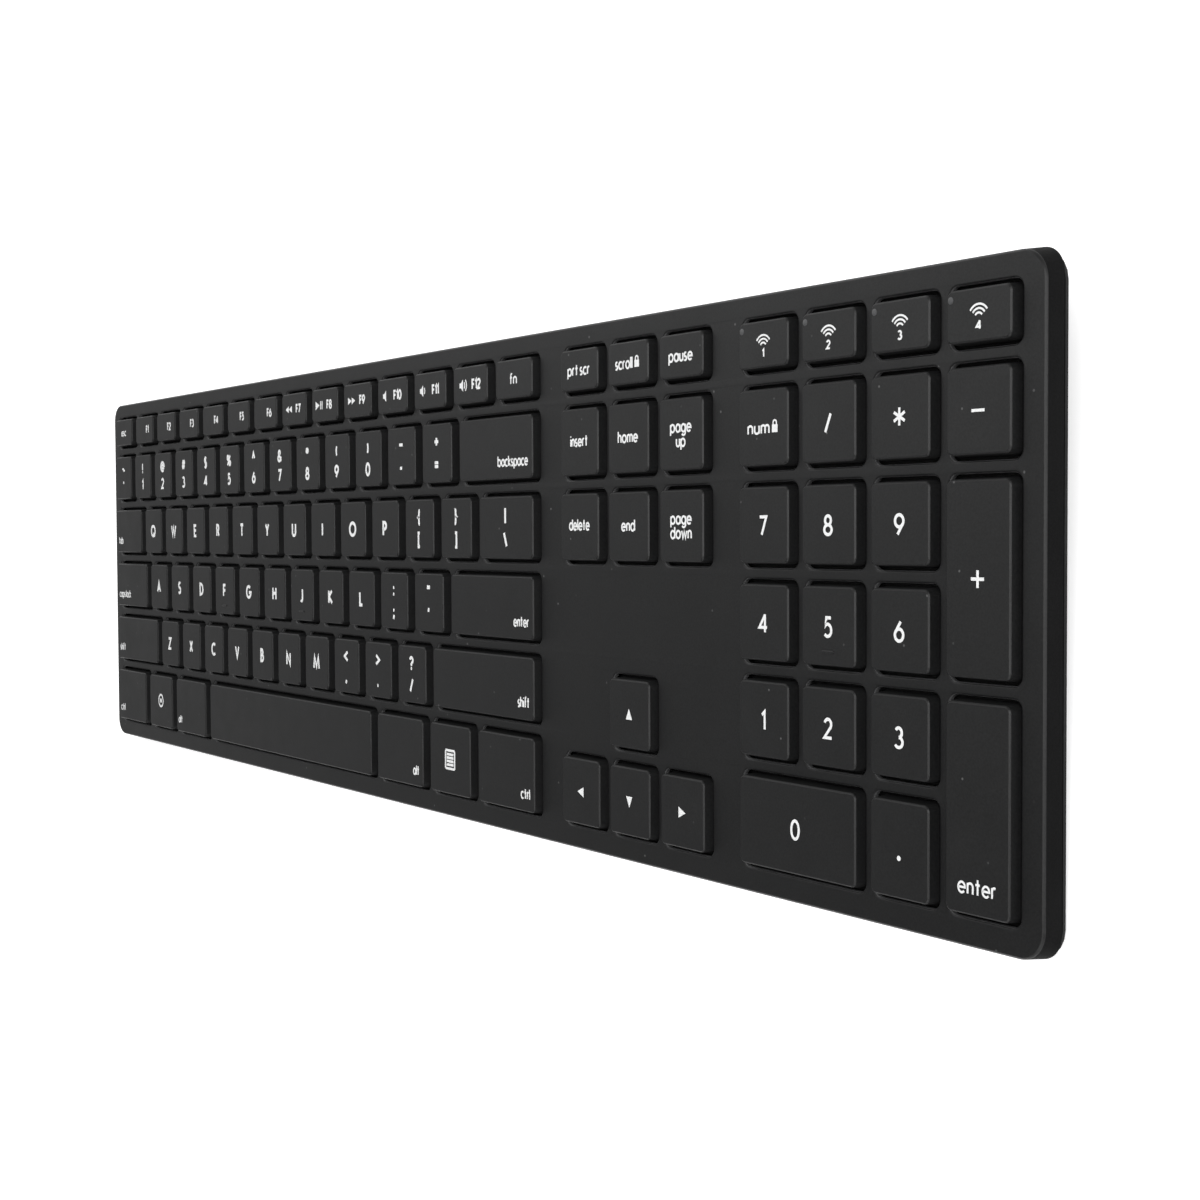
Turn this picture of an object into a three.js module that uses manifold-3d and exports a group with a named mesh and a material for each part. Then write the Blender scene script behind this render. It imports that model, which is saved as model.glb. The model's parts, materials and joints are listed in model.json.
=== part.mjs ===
// Full-size slim wireless keyboard: main typing block, navigation block and numeric keypad.
//
// Two frames are used. The deck frame lies in the deck: x to the right from the middle of the keyboard,
// y to the rear from the front edge of the deck, z out of the deck with 0 on its top face.
// The desk frame is the part's own frame: the deck frame tilted about x, standing on its feet.
// Its origin is the middle of the bottom of the box around the whole keyboard. All sizes are millimetres.

import * as THREE from 'three';
import { mergeVertices } from 'three/addons/utils/BufferGeometryUtils.js';
import Module from 'manifold-3d';

const wasm = await Module();
wasm.setup();

// ---------------------------------------------------------------- driving dimensions

const PITCH = 19.05; // standard key pitch
const WEB = 2.0; // deck left standing between two key wells
const FUNCTION_ROW = 13.25; // depth of a function row cell
const BOTTOM_ROW = 21.7; // depth of a bottom row cell
const NAV_GAP = 8.2; // plain deck between main block and navigation block
const PAD_GAP = 7.7; // plain deck between navigation block and keypad
const SIDE_MARGIN = 4.0; // outermost cell to the deck's left and right edges
const FRONT_MARGIN = 4.0; // outermost cell to the deck's front edge
const REAR_MARGIN = 3.5; // outermost cell to the deck's rear edge

const DECK_THICKNESS = 1.0;
const DECK_CORNER = 5.3;
const WELL_CORNER = 1.7;
const RIM_BOTTOM = -4.4; // lower edge of the deck's turned-down rim
const RIM_THICKNESS = 1.4;

const CAP_CLEARANCE = 0.75; // cap to well, all round
const CAP_CORNER = 1.5;
const CAP_TOP = 1.7; // how far a cap stands above the deck
const CAP_BOTTOM = -1.6; // lower edge of a cap's skirt
const CAP_WALL = 0.9;
const CAP_CEILING = 1.0;
const BRIDGE_WIDTH = 5.0; // strip that joins the caps of one bank under the deck
const BRIDGE_THICKNESS = 0.35;

const GAP = 0.15; // between sheets that lie on each other
const DOME_SHEET_TOP = -3.3; // clear of a pressed cap
const DOME_SHEET_THICKNESS = 0.25;
const DOME_HEIGHT = 1.8;
const DOME_BASE_RADIUS = 3.0;
const DOME_TOP_RADIUS = 1.3;
const MEMBRANE_THICKNESS = 0.2;
const PLATE_THICKNESS = 0.4;
const SHEET_INSET = 3.2; // deck edge to the edge of the sheets

const COVER_TOP = -4.6;
const COVER_BOTTOM = -5.3;
const LIP_TOP = -3.4; // upstand that locates the cover inside the rim
const LIP_INSET = 1.7;
const LIP_THICKNESS = 1.2;

const TILT = THREE.MathUtils.degToRad(5.5);
const FOOT_THICKNESS = 1.2; // at its thin front edge
const FRONT_FOOT = { y: 8, depth: 6, length: 34, inset: 30 };
const REAR_FOOT = { y: 98, depth: 9, length: 44, inset: 46 };

const RISER = { front: 92, rear: 114, inset: 18, corner: 6, wall: 1.2, floor: 1.0 };

const BATTERY = { x: -60, y: 103, length: 100, depth: 16, height: 5.4, corner: 2 };
const BOARD = { x: 145, y: 102.6, length: 84, depth: 18, height: 1.0 };
const BOARD_SEAT = 0.4; // cavity floor to board
const BATTERY_SEAT = 0.3; // cavity floor to cell
const PORT = { x: 150, width: 9.0, height: 3.4, depth: 7.8, wall: 0.4, sink: 0.1 };
const TONGUE = { thickness: 0.7, side: 1.2, front: 0.5, rear: 1.5 }; // the socket's, and its clearances
const MOUTH_CLEARANCE = 0.3; // case opening to socket and to switch knob
const SWITCH = {
  x: 118, travel: 3.0, knob: 4.0, height: 2.4, stand_out: 0.9, plate: 8.0, plate_height: 3.8,
  plate_gap: 0.3, lift: 0.6, // plate to case wall, and knob's middle above the socket's
};

const SCREW = { x: 150, rows: [20, 80], head: 2.0, head_height: 0.6, head_gap: 0.1, shank: 0.8, hole: 1.1 };

// Widths of the keys in each row of the main block, in units of the pitch, from the left.
const ones = (count) => Array(count).fill(1);
const MAIN_ROWS = [
  Array(14).fill(15 / 14),
  [...ones(13), 2],
  [1.5, ...ones(12), 1.5],
  [1.75, ...ones(11), 2.25],
  [2.25, ...ones(10), 2.75],
  [1.62, 1.3, 1.54, 6.15, 1.54, 1.28, 1.57],
];
const ROW_DEPTHS = [FUNCTION_ROW, PITCH, PITCH, PITCH, PITCH, BOTTOM_ROW];

// Keys beside the main block: name, column, rear row, width in columns, depth in rows.
const NAV_KEYS = [
  ['print_screen', 0, 0, 1, 1], ['scroll_lock', 1, 0, 1, 1], ['pause', 2, 0, 1, 1],
  ['insert', 0, 1, 1, 1], ['home', 1, 1, 1, 1], ['page_up', 2, 1, 1, 1],
  ['delete', 0, 2, 1, 1], ['end', 1, 2, 1, 1], ['page_down', 2, 2, 1, 1],
];
// Arrow keys: name, column, place from the front. Their cells are one pitch square, less deep than the
// bottom row's.
const ARROW_KEYS = [['arrow_up', 1, 1], ['arrow_left', 0, 0], ['arrow_down', 1, 0], ['arrow_right', 2, 0]];
const PAD_KEYS = [
  ['wireless_1', 0, 0, 1, 1], ['wireless_2', 1, 0, 1, 1], ['wireless_3', 2, 0, 1, 1],
  ['wireless_4', 3, 0, 1, 1],
  ['num_lock', 0, 1, 1, 1], ['pad_slash', 1, 1, 1, 1], ['pad_asterisk', 2, 1, 1, 1],
  ['pad_minus', 3, 1, 1, 1],
  ['pad_7', 0, 2, 1, 1], ['pad_8', 1, 2, 1, 1], ['pad_9', 2, 2, 1, 1], ['pad_plus', 3, 2, 1, 2],
  ['pad_4', 0, 3, 1, 1], ['pad_5', 1, 3, 1, 1], ['pad_6', 2, 3, 1, 1],
  ['pad_1', 0, 4, 1, 1], ['pad_2', 1, 4, 1, 1], ['pad_3', 2, 4, 1, 1], ['pad_enter', 3, 4, 1, 2],
  ['pad_0', 0, 5, 2, 1], ['pad_point', 2, 5, 1, 1],
];

// ---------------------------------------------------------------- sizes that follow

const NAV_COLUMNS = 3;
const PAD_COLUMNS = 4;
const MAIN_UNITS = 15;
const sum = (list) => list.reduce((total, value) => total + value, 0);
const COLUMNS = MAIN_UNITS + NAV_COLUMNS + PAD_COLUMNS;
const LENGTH = COLUMNS * PITCH + NAV_GAP + PAD_GAP + 2 * SIDE_MARGIN;
const DEPTH = sum(ROW_DEPTHS) + FRONT_MARGIN + REAR_MARGIN;
const LEFT = -LENGTH / 2;
const MAIN_LEFT = LEFT + SIDE_MARGIN;
const NAV_LEFT = MAIN_LEFT + MAIN_UNITS * PITCH + NAV_GAP;
const PAD_LEFT = NAV_LEFT + NAV_COLUMNS * PITCH + PAD_GAP;

const MEMBRANE_TOP = DOME_SHEET_TOP - DOME_SHEET_THICKNESS - GAP;
const PLATE_TOP = MEMBRANE_TOP - MEMBRANE_THICKNESS - GAP;
const RISER_BOTTOM = COVER_BOTTOM - (REAR_FOOT.y - FRONT_FOOT.y) * Math.tan(TILT);
const CAVITY_FLOOR = RISER_BOTTOM + RISER.floor;
const BOARD_TOP = CAVITY_FLOOR + BOARD_SEAT + BOARD.height;
const SWITCH_MIDDLE = BOARD_TOP + GAP + PORT.height / 2 + SWITCH.lift;
const OVERLAP = 0.05; // how far pieces of one solid run into each other before they are joined

// Front edge of a row's cells.
function rowFront(row) {
  return FRONT_MARGIN + sum(ROW_DEPTHS.slice(row + 1));
}

// ---------------------------------------------------------------- materials

function material(color, roughness, metalness) {
  return new THREE.MeshStandardMaterial({ color, roughness, metalness });
}
const materials = {
  deck: material(0x2b2c2e, 0.55, 0.6),
  cap: material(0x2a2a2b, 0.6, 0),
  cover: material(0x18181a, 0.7, 0),
  steel: material(0x9a9c9e, 0.4, 0.9),
  membrane: material(0xb9c4c6, 0.5, 0),
  dome: material(0x161616, 0.8, 0),
  board: material(0x1f5a36, 0.6, 0),
  battery: material(0x8d9196, 0.45, 0.3),
  foot: material(0x101011, 0.9, 0),
};

// ---------------------------------------------------------------- shapes

// Outline of a rectangle whose corners are rounded by a number of straight steps.
function outline(x0, y0, x1, y1, radius, steps) {
  const corners = [
    [x1 - radius, y0 + radius, -90],
    [x1 - radius, y1 - radius, 0],
    [x0 + radius, y1 - radius, 90],
    [x0 + radius, y0 + radius, 180],
  ];
  const points = [];
  for (const [cx, cy, start] of corners) {
    for (let i = 0; i <= steps; i += 1) {
      const angle = THREE.MathUtils.degToRad(start + (90 * i) / steps);
      points.push(new THREE.Vector2(cx + radius * Math.cos(angle), cy + radius * Math.sin(angle)));
    }
  }
  return points;
}

// The deck's own outline, moved inwards.
function deckOutline(inset, steps = 5) {
  const radius = Math.max(DECK_CORNER - inset, 1);
  return outline(LEFT + inset, inset, -LEFT - inset, DEPTH - inset, radius, steps);
}

// Upright plate between two heights.
function slab(points, bottom, top, holes = []) {
  const shape = new THREE.Shape(points);
  shape.holes = holes.map((hole) => new THREE.Path(hole));
  const geometry = new THREE.ExtrudeGeometry(shape, { depth: top - bottom, bevelEnabled: false });
  return geometry.translate(0, 0, bottom);
}

function box(x0, y0, z0, x1, y1, z1) {
  const geometry = new THREE.BoxGeometry(x1 - x0, y1 - y0, z1 - z0);
  return geometry.translate((x0 + x1) / 2, (y0 + y1) / 2, (z0 + z1) / 2);
}

// Round post or cone along z.
function post(x, y, bottom, top, bottomRadius, topRadius, sides) {
  const geometry = new THREE.CylinderGeometry(topRadius, bottomRadius, top - bottom, sides);
  return geometry.rotateX(Math.PI / 2).translate(x, y, (bottom + top) / 2);
}

function solid(geometry) {
  const bare = geometry.clone();
  bare.deleteAttribute('normal');
  bare.deleteAttribute('uv');
  const merged = mergeVertices(bare, 1e-4);
  const mesh = new wasm.Mesh({
    numProp: 3,
    vertProperties: merged.attributes.position.array,
    triVerts: new Uint32Array(merged.index.array),
  });
  return new wasm.Manifold(mesh);
}

// Joins the geometries in `add` and cuts those in `cut` out of the result.
function carve(add, cut = []) {
  let body = solid(add[0]);
  for (const geometry of add.slice(1)) body = body.add(solid(geometry));
  for (const geometry of cut) body = body.subtract(solid(geometry));
  const mesh = body.getMesh();
  const result = new THREE.BufferGeometry();
  result.setAttribute('position', new THREE.BufferAttribute(mesh.vertProperties, 3));
  result.setIndex(new THREE.BufferAttribute(mesh.triVerts, 1));
  const flat = result.toNonIndexed();
  flat.computeVertexNormals();
  return flat;
}

// ---------------------------------------------------------------- assembly groups

const assembly = new THREE.Group();
const tilted = new THREE.Group();
tilted.rotation.x = TILT;
assembly.add(tilted);

function piece(name, geometry, look, group = tilted) {
  const mesh = new THREE.Mesh(geometry, look);
  mesh.name = name;
  group.add(mesh);
  return mesh;
}

// ---------------------------------------------------------------- key cells

// Each key's cell is the pitch-wide area that holds its well and half the web on each side.
function mainCells(row) {
  let left = MAIN_LEFT;
  return MAIN_ROWS[row].map((units) => {
    const cell = { x0: left, x1: left + units * PITCH, y0: rowFront(row), y1: rowFront(row) + ROW_DEPTHS[row] };
    left = cell.x1;
    return cell;
  });
}

function sideCell(blockLeft, column, row, columns, rows) {
  const x0 = blockLeft + column * PITCH;
  return { x0, x1: x0 + columns * PITCH, y0: rowFront(row + rows - 1), y1: rowFront(row) + ROW_DEPTHS[row] };
}

function arrowCell(column, place) {
  const x0 = NAV_LEFT + column * PITCH;
  const y0 = FRONT_MARGIN + place * PITCH;
  return { x0, x1: x0 + PITCH, y0, y1: y0 + PITCH };
}

// Keys that are pieces of their own.
const singles = [
  ...NAV_KEYS.map(([name, ...place]) => ({ name, cell: sideCell(NAV_LEFT, ...place) })),
  ...ARROW_KEYS.map(([name, ...place]) => ({ name, cell: arrowCell(...place) })),
  ...PAD_KEYS.map(([name, ...place]) => ({ name, cell: sideCell(PAD_LEFT, ...place) })),
];
const functionCells = mainCells(0);
const bottomCells = mainCells(5);
const SPACE_INDEX = 3;
singles.push({ name: 'escape', cell: functionCells[0] });
singles.push({ name: 'space', cell: bottomCells[SPACE_INDEX] });

// Keys that are joined into a bank of neighbours.
const banks = [
  { name: 'function_row', cells: functionCells.slice(1) },
  { name: 'number_row', cells: mainCells(1) },
  { name: 'q_row', cells: mainCells(2) },
  { name: 'a_row', cells: mainCells(3) },
  { name: 'z_row', cells: mainCells(4) },
  { name: 'left_modifiers', cells: bottomCells.slice(0, SPACE_INDEX) },
  { name: 'right_modifiers', cells: bottomCells.slice(SPACE_INDEX + 1) },
];
const cells = [...singles.map((key) => key.cell), ...banks.flatMap((bank) => bank.cells)];

// ---------------------------------------------------------------- deck

function cellOutline(cell, inset, radius, steps) {
  return outline(cell.x0 + inset, cell.y0 + inset, cell.x1 - inset, cell.y1 - inset, radius, steps);
}

function makeDeck() {
  const wells = cells.map((cell) => cellOutline(cell, WEB / 2, WELL_CORNER, 1));
  const plate = slab(deckOutline(0), -DECK_THICKNESS, 0, wells);
  const rim = slab(deckOutline(0), RIM_BOTTOM, -DECK_THICKNESS + OVERLAP, [deckOutline(RIM_THICKNESS)]);
  piece('top_case', carve([plate, rim]), materials.deck);
}

// ---------------------------------------------------------------- keycaps

// Hollow cap: its outer body and the pocket that is cut out from below.
function capBody(cell) {
  return slab(cellOutline(cell, WEB / 2 + CAP_CLEARANCE, CAP_CORNER, 1), CAP_BOTTOM, CAP_TOP);
}

function capPocket(cell) {
  const inset = WEB / 2 + CAP_CLEARANCE + CAP_WALL;
  const { x0, y0, x1, y1 } = cell;
  return box(x0 + inset, y0 + inset, CAP_BOTTOM - 1, x1 - inset, y1 - inset, CAP_TOP - CAP_CEILING);
}

// Strip under the deck that joins the cap of a cell to the cap at its right.
function bridge(cell) {
  const reach = WEB / 2 + CAP_CLEARANCE + CAP_WALL / 2;
  const middle = (cell.y0 + cell.y1) / 2;
  const top = CAP_BOTTOM + BRIDGE_THICKNESS;
  return box(cell.x1 - reach, middle - BRIDGE_WIDTH / 2, CAP_BOTTOM, cell.x1 + reach, middle + BRIDGE_WIDTH / 2, top);
}

function makeKeys() {
  for (const { name, cell } of singles) {
    piece(`key_${name}`, carve([capBody(cell)], [capPocket(cell)]), materials.cap);
  }
  for (const bank of banks) {
    const add = [...bank.cells.map(capBody), ...bank.cells.slice(0, -1).map(bridge)];
    piece(`key_bank_${bank.name}`, carve(add, bank.cells.map(capPocket)), materials.cap);
  }
}

// ---------------------------------------------------------------- sheets under the keys

function screwPlaces() {
  const places = [];
  for (const y of SCREW.rows) {
    for (const side of [-1, 1]) places.push({ x: side * SCREW.x, y });
  }
  return places;
}

function makeSheets() {
  const edge = deckOutline(SHEET_INSET, 2);
  const sheet = slab(edge, DOME_SHEET_TOP - DOME_SHEET_THICKNESS, DOME_SHEET_TOP);
  const domes = cells.map(({ x0, y0, x1, y1 }) => {
    const top = DOME_SHEET_TOP + DOME_HEIGHT;
    const base = DOME_SHEET_TOP - OVERLAP;
    return post((x0 + x1) / 2, (y0 + y1) / 2, base, top, DOME_BASE_RADIUS, DOME_TOP_RADIUS, 6);
  });
  piece('rubber_dome_sheet', carve([sheet, ...domes]), materials.dome);
  piece('membrane_circuit', slab(edge, MEMBRANE_TOP - MEMBRANE_THICKNESS, MEMBRANE_TOP), materials.membrane);
  const holes = screwPlaces().map(({ x, y }) => {
    return outline(x - SCREW.hole, y - SCREW.hole, x + SCREW.hole, y + SCREW.hole, SCREW.hole / 2, 1);
  });
  piece('key_support_plate', slab(edge, PLATE_TOP - PLATE_THICKNESS, PLATE_TOP, holes), materials.steel);
}

// ---------------------------------------------------------------- bottom cover with its riser

function riserOutline(inset) {
  const reach = -LEFT - RISER.inset - inset;
  return outline(-reach, RISER.front + inset, reach, RISER.rear - inset, RISER.corner - inset, 4);
}

function makeCover() {
  const floor = slab(deckOutline(0), COVER_BOTTOM, COVER_TOP);
  const lip = slab(deckOutline(LIP_INSET), COVER_TOP - OVERLAP, LIP_TOP, [deckOutline(LIP_INSET + LIP_THICKNESS)]);
  const riser = slab(riserOutline(0), RISER_BOTTOM, COVER_BOTTOM + OVERLAP);
  const cavity = slab(riserOutline(RISER.wall), CAVITY_FLOOR, COVER_TOP + 1);
  const wallInside = RISER.rear - RISER.wall - 1;
  const wallOutside = RISER.rear + 1;
  const portReach = PORT.width / 2 + MOUTH_CLEARANCE;
  const portMouth = box(
    PORT.x - portReach, wallInside, BOARD_TOP + GAP - MOUTH_CLEARANCE,
    PORT.x + portReach, wallOutside, BOARD_TOP + GAP + PORT.height + MOUTH_CLEARANCE,
  );
  const slotReach = (SWITCH.knob + SWITCH.travel) / 2 + MOUTH_CLEARANCE;
  const slotHalf = SWITCH.height / 2 + MOUTH_CLEARANCE;
  const slot = box(
    SWITCH.x - slotReach, wallInside, SWITCH_MIDDLE - slotHalf,
    SWITCH.x + slotReach, wallOutside, SWITCH_MIDDLE + slotHalf,
  );
  const screwHoles = screwPlaces().map(({ x, y }) => {
    return post(x, y, COVER_BOTTOM - 1, COVER_TOP + 1, SCREW.hole, SCREW.hole, 8);
  });
  piece('bottom_cover', carve([floor, lip, riser], [cavity, portMouth, slot, ...screwHoles]), materials.cover);
}

// ---------------------------------------------------------------- what the riser holds

function makeElectronics() {
  const half = BATTERY.length / 2;
  const bottom = CAVITY_FLOOR + BATTERY_SEAT;
  const edge = outline(
    BATTERY.x - half, BATTERY.y - BATTERY.depth / 2,
    BATTERY.x + half, BATTERY.y + BATTERY.depth / 2, BATTERY.corner, 2,
  );
  piece('battery_cell', slab(edge, bottom, bottom + BATTERY.height), materials.battery);

  const boardHalf = BOARD.length / 2;
  const board = box(
    BOARD.x - boardHalf, BOARD.y - BOARD.depth / 2, BOARD_TOP - BOARD.height,
    BOARD.x + boardHalf, BOARD.y + BOARD.depth / 2, BOARD_TOP,
  );
  piece('main_circuit_board', board, materials.board);
}

function makePort() {
  const bottom = BOARD_TOP + GAP;
  const top = bottom + PORT.height;
  const middle = (bottom + top) / 2;
  const rear = RISER.rear - PORT.sink;
  const front = rear - PORT.depth;
  const x0 = PORT.x - PORT.width / 2;
  const x1 = PORT.x + PORT.width / 2;
  const { wall } = PORT;
  const shell = box(x0, front, bottom, x1, rear, top);
  const mouth = box(x0 + wall, front + 1, bottom + wall, x1 - wall, rear + 1, top - wall);
  const tongue = box(
    x0 + TONGUE.side, front + TONGUE.front, middle - TONGUE.thickness / 2,
    x1 - TONGUE.side, rear - TONGUE.rear, middle + TONGUE.thickness / 2,
  );
  const hollow = carve([shell], [mouth]);
  piece('charging_port', carve([hollow, tongue]), materials.steel);
}

function makeSwitch() {
  const x = SWITCH.x - SWITCH.travel / 2;
  const middle = SWITCH_MIDDLE;
  const plateRear = RISER.rear - RISER.wall - SWITCH.plate_gap;
  const plate = box(
    x - SWITCH.plate / 2, plateRear - 1, middle - SWITCH.plate_height / 2,
    x + SWITCH.plate / 2, plateRear, middle + SWITCH.plate_height / 2,
  );
  const knob = box(
    x - SWITCH.knob / 2, plateRear - OVERLAP, middle - SWITCH.height / 2,
    x + SWITCH.knob / 2, RISER.rear + SWITCH.stand_out, middle + SWITCH.height / 2,
  );
  piece('power_switch', carve([plate, knob]), materials.cap);
}

// ---------------------------------------------------------------- screws and feet

function makeScrews() {
  screwPlaces().forEach(({ x, y }, index) => {
    const headTop = COVER_BOTTOM - SCREW.head_gap;
    const head = post(x, y, headTop - SCREW.head_height, headTop, SCREW.head, SCREW.head, 12);
    const shank = post(x, y, headTop - OVERLAP, PLATE_TOP - GAP / 2, SCREW.shank, SCREW.shank, 8);
    piece(`cover_screw_${index + 1}`, carve([head, shank]), materials.steel);
  });
}

// A point of the deck frame's y, z plane seen in the desk frame.
function onDesk(y, z) {
  return new THREE.Vector2(
    y * Math.cos(TILT) - z * Math.sin(TILT),
    y * Math.sin(TILT) + z * Math.cos(TILT),
  );
}

// Rubber foot: its sloping top follows the cover, its bottom lies flat on the desk.
function makeFoot(name, side, foot, coverZ, deskZ) {
  const front = onDesk(foot.y, coverZ - GAP);
  const rear = onDesk(foot.y + foot.depth, coverZ - GAP);
  const profile = new THREE.Shape([
    new THREE.Vector2(front.x, deskZ),
    new THREE.Vector2(rear.x, deskZ),
    rear,
    front,
  ]);
  const geometry = new THREE.ExtrudeGeometry(profile, { depth: foot.length, bevelEnabled: false });
  const toDesk = new THREE.Matrix4().makeBasis(
    new THREE.Vector3(0, 1, 0),
    new THREE.Vector3(0, 0, 1),
    new THREE.Vector3(1, 0, 0),
  );
  const middle = side * (-LEFT - foot.inset);
  geometry.applyMatrix4(toDesk).translate(middle - foot.length / 2, 0, 0);
  piece(name, geometry, materials.foot, assembly);
}

function makeFeet() {
  const deskZ = onDesk(FRONT_FOOT.y, COVER_BOTTOM - GAP).y - FOOT_THICKNESS;
  for (const [word, side] of [['left', -1], ['right', 1]]) {
    makeFoot(`foot_front_${word}`, side, FRONT_FOOT, COVER_BOTTOM, deskZ);
    makeFoot(`foot_rear_${word}`, side, REAR_FOOT, RISER_BOTTOM, deskZ);
  }
}

// ---------------------------------------------------------------- build

makeDeck();
makeKeys();
makeSheets();
makeCover();
makeElectronics();
makePort();
makeSwitch();
makeScrews();
makeFeet();

const around = new THREE.Box3().setFromObject(assembly, true);
const middle = around.getCenter(new THREE.Vector3());
assembly.position.set(-middle.x, -middle.y, -around.min.z);

const keyboard = new THREE.Group();
keyboard.name = 'keyboard';
keyboard.add(assembly);

export default keyboard;
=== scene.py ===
"""Looks of a full-size slim wireless keyboard with a numeric keypad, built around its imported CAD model.

Pieces are modelled in the deck frame, in millimetres: x to the right from the keyboard's middle, y to the
rear from the deck's front edge, z out of the deck with 0 on its top face. DECK turns that frame into the
row frame. Where a key is, and how big, is read from the CAD nodes.
"""

import json
import math

import bmesh
import bpy
from mathutils import Matrix, Vector
from mathutils.geometry import tessellate_polygon


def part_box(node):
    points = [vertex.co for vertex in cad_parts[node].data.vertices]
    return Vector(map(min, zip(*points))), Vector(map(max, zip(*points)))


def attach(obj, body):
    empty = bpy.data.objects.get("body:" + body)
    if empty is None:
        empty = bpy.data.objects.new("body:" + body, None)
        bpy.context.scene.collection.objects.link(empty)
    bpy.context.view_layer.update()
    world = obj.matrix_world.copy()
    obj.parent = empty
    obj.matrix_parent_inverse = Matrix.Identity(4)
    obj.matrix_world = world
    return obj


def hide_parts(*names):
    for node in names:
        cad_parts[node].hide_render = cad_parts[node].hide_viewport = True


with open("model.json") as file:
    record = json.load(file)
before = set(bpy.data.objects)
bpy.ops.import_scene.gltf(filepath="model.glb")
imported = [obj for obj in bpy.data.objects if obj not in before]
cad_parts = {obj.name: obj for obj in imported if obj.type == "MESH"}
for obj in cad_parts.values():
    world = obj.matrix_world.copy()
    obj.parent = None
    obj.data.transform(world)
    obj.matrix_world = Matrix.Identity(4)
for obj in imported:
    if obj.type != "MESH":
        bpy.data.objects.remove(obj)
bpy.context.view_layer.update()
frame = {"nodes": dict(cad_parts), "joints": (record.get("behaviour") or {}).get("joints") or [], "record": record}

# ------------------------------------------------------------------ sizes, in millimetres

MM = 0.001
SAME = 0.05  # points closer than this are one place

DECK_CORNER = 5.6  # at the top
DECK_CORNER_STEPS = 12  # in each quarter turn
DECK_EDGE = 0.42  # eased chamfer between the deck's top and its side
DECK_THICKNESS = 1.0
RIM_CORNER = 4.5  # at the rim's lower edge
RIM_EASE = 0.05  # at the same edge
RIM_FLARE_FRONT, RIM_FLARE_REAR = 0.2, 0.5  # how far the rim leans out
RIM_THICKNESS = 1.4
WELL_CLEARANCE = 0.62  # cap to well
WELL_CORNER = 1.75
WELL_EDGE = 0.45  # rounding of the plate into each well
WELL_LIP_BANDS = 2  # bands of that rounding that keep the finish of the top

CAP_CORNER = 1.5
CAP_CORNER_LOSS = 0.8  # what the corner radius loses for each unit the side leans in
CAP_EDGE = 0.32  # eased chamfer round a cap's top
CAP_DRAFT = 0.3  # how far the side leans in
CAP_WALL = 0.9
CAP_CEILING = 1.0
BAR_LENGTH, BAR_WIDTH, BAR_HEIGHT = 3.3, 0.55, 0.22
BAR_FROM_FRONT = 3.0
BAR_ROUNDING = 0.75  # as a share of its half width
BAR_SUNK = 0.05  # how far its foot reaches into the cap
WINDOW_RADIUS = 0.65
WINDOW_FROM_LEFT, WINDOW_FROM_REAR = 1.3, 1.95
WINDOW_CROWN = ((1.0, -0.2), (1.0, 0.015), (0.85, 0.04), (0.45, 0.055))  # share of the radius, height

INK_DEPTH = 0.02  # how deep a printed legend reaches into the cap
INK_PROUD = 0.6  # how far its first mark stands proud, as a share of that depth
INK_STEP = 0.02  # what each further mark adds to that share

FOOT_EDGE = 0.4
SCREW_EDGE, SCREW_HEAD, SCREW_SHANK = 0.45, 0.6, 0.8  # rounding, head thickness, shank radius
SCREW_TIP_LENGTH, SCREW_TIP = 0.3, 0.4  # the taper at the end of the shank, and its radius there
RECESS_HALF, RECESS_REACH, RECESS_DEPTH = 0.22, 1.05, 0.4
SOCKET_WALL, SOCKET_EASE, SOCKET_CORNER = 0.35, 0.1, 1.45
SOCKET_FLOOR = 1.0  # inner end of the opening to the inner end of the socket
TONGUE_HALF_WIDTH, TONGUE_HALF_HEIGHT, TONGUE_CORNER = 3.3, 0.35, 0.3
TONGUE_ROOT, TONGUE_SUNK = 0.9, 1.4  # its root to the socket's inner end, its tip to the mouth
CONTACTS_EACH_SIDE = 3  # of the middle one
CONTACT_PITCH, CONTACT_HALF, CONTACT_CORNER = 0.8, 0.17, 0.06
CONTACT_FROM, CONTACT_TO = 3.0, 0.5  # its two ends, from the tongue's tip
CONTACT_PROUD = 0.04

# The camera's place and aim, in the deck frame.
CAMERA_PLACE = (428.1, 71.9, 229.0)
CAMERA_AIM = (91.6, 57.0, 0.0)
CAMERA_UP = (-0.0276, 0.9993, -0.0245)
CAMERA_LENS, CAMERA_SENSOR = 54.8, 36.0


# ------------------------------------------------------------------ the deck frame

def deck_matrix():
    """Deck frame in millimetres to row frame in metres, from the key travel and the top case."""
    press = next(j for j in frame["joints"] if j["name"].startswith("press_"))["axis"]
    turn = Matrix.Rotation(math.atan2(press[1], -press[2]), 4, "X")
    flat = turn.inverted()
    points = [flat @ v.co for v in frame["nodes"]["top_case"].data.vertices]
    front = min(p.y for p in points)
    top = max(p.z for p in points)
    return turn @ Matrix.Translation((0, front, top)) @ Matrix.Scale(MM, 4)


DECK = deck_matrix()
TO_DECK = DECK.inverted()
TO_ROW_MM = Matrix.Scale(MM, 4)


def deck_points(node):
    return [TO_DECK @ v.co for v in frame["nodes"][node].data.vertices]


def deck_box(node):
    points = deck_points(node)
    low = Vector([min(p[i] for p in points) for i in range(3)])
    high = Vector([max(p[i] for p in points) for i in range(3)])
    return low, high


def places(values):
    """The different values among many nearly equal ones, in order."""
    found = []
    for value in sorted(values):
        if not found or value - found[-1] > SAME:
            found.append(value)
    return found


class Box:
    """A rectangle: the outline of a cap or of another piece, from above unless said otherwise."""

    def __init__(self, x0, y0, x1, y1):
        self.x0, self.y0, self.x1, self.y1 = x0, y0, x1, y1
        self.cx, self.cy = (x0 + x1) / 2, (y0 + y1) / 2

    def grown(self, by):
        return Box(self.x0 - by, self.y0 - by, self.x1 + by, self.y1 + by)


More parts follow.
